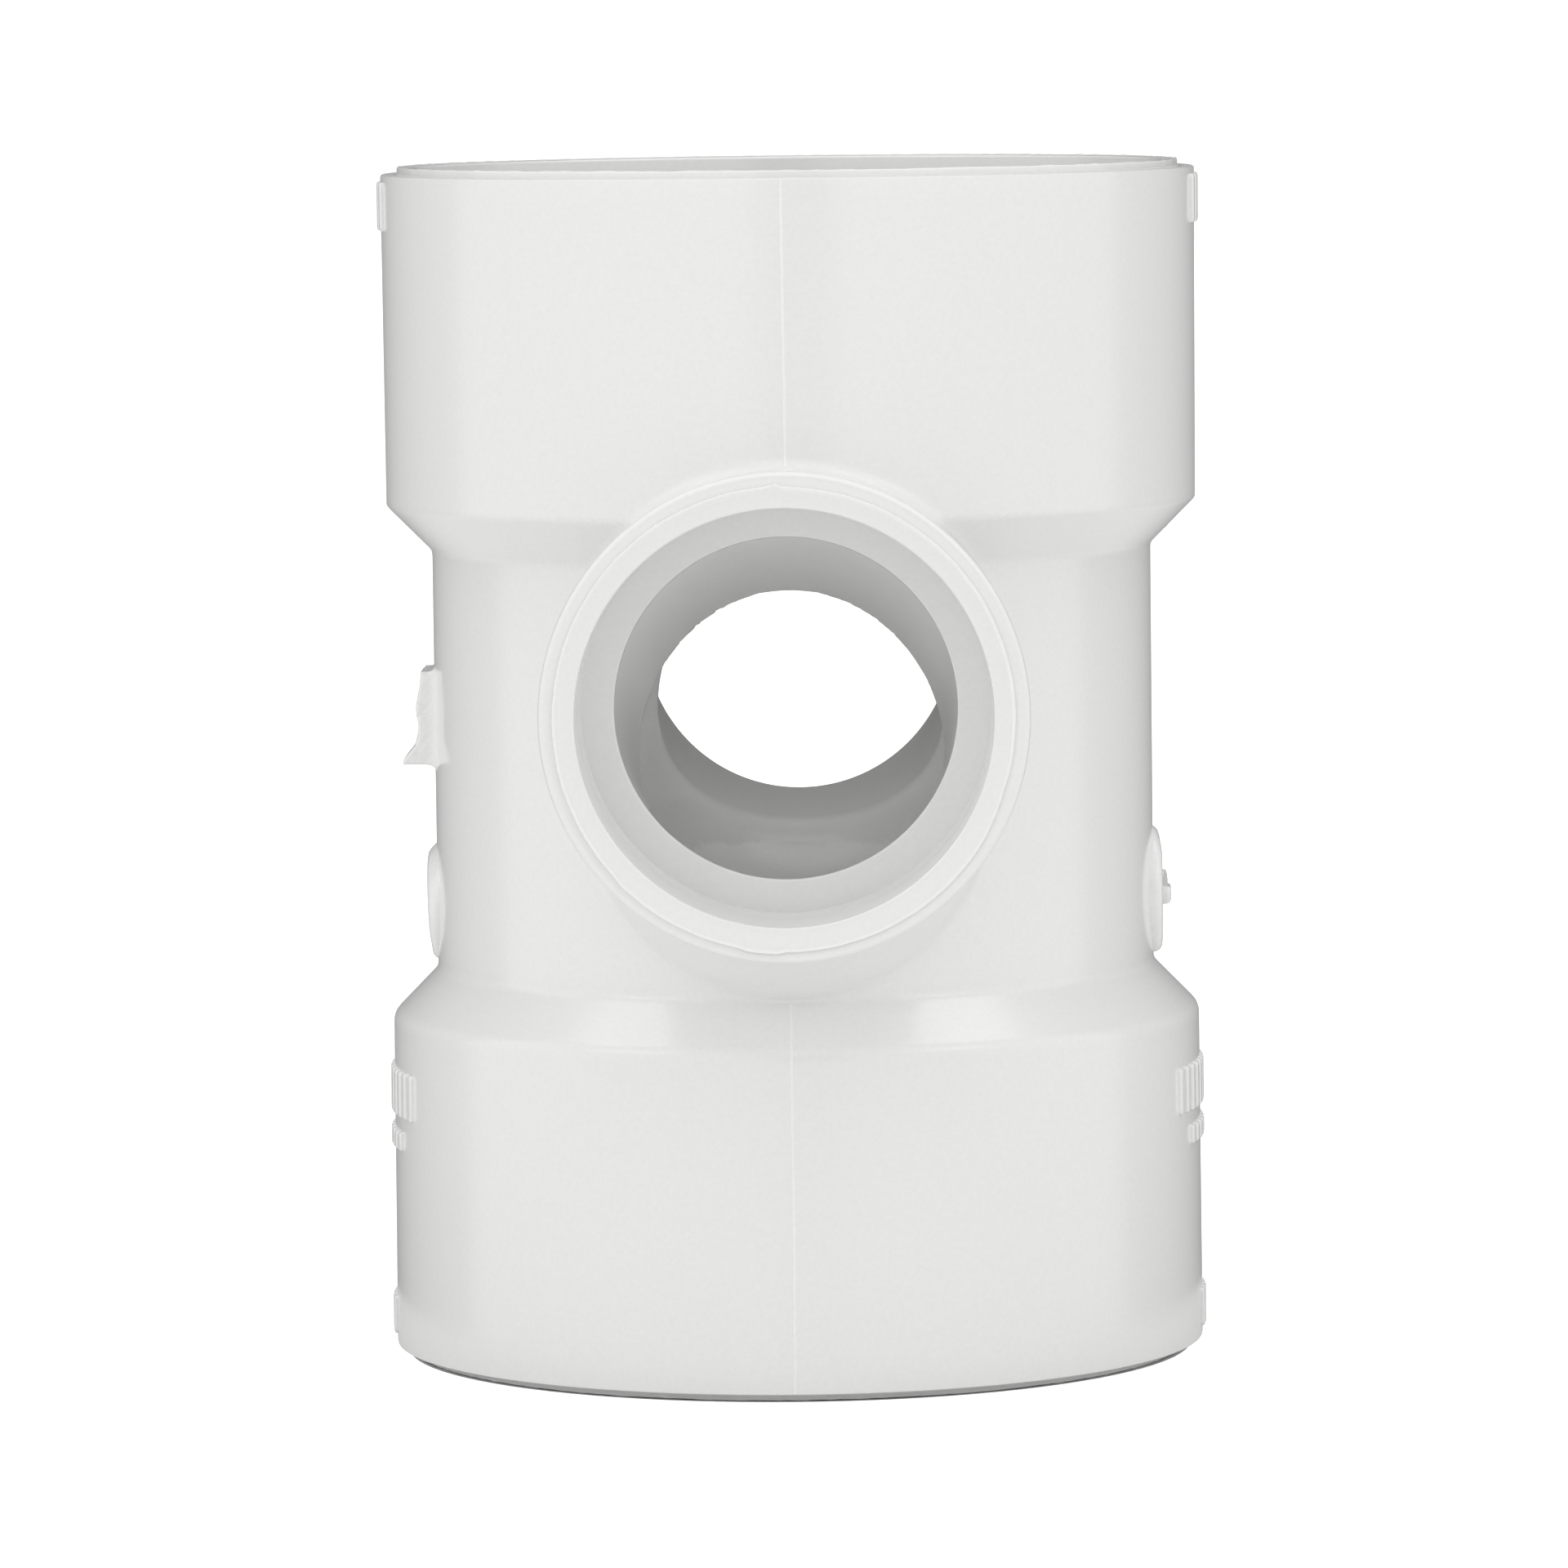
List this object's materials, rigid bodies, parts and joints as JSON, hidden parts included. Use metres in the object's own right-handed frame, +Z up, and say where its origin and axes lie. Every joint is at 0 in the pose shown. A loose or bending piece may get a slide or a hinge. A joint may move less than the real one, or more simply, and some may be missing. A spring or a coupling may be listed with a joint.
{
  "type": "reducing double sanitary tee",
  "caption": "White PVC drain fitting: a wide vertical run with opposed smaller side branches that sweep down into it, and a solvent-weld socket on every end.",
  "frame": {"origin": "on the run's axis, at the lowest face of the fitting (the raised ring of the lower socket)", "axes": "+Z up along the run towards the upper socket, -Y out of the front branch, +X to the right seen from the front"},
  "size_m": [0.1262, 0.1934, 0.1833],
  "materials": {
    "white_pvc": "smooth satin, as moulded, rigid white PVC"
  },
  "bodies": {
    "root": {"run_barrel": "white_pvc", "top_shoulder": "white_pvc", "top_hub": "white_pvc", "top_rim": "white_pvc", "bottom_shoulder": "white_pvc", "bottom_hub": "white_pvc", "bottom_rim": "white_pvc", "front_neck": "white_pvc", "front_sweep": "white_pvc", "front_hub": "white_pvc", "front_rim": "white_pvc", "rear_neck": "white_pvc", "rear_sweep": "white_pvc", "rear_hub": "white_pvc", "rear_rim": "white_pvc", "gate_stub": "white_pvc", "left_pad": "white_pvc", "right_pad": "white_pvc", "pad_nub": "white_pvc", "top_marks": "white_pvc", "bottom_marks": "white_pvc", "front_seam": "white_pvc", "rear_seam": "white_pvc"}
  },
  "joints": []
}
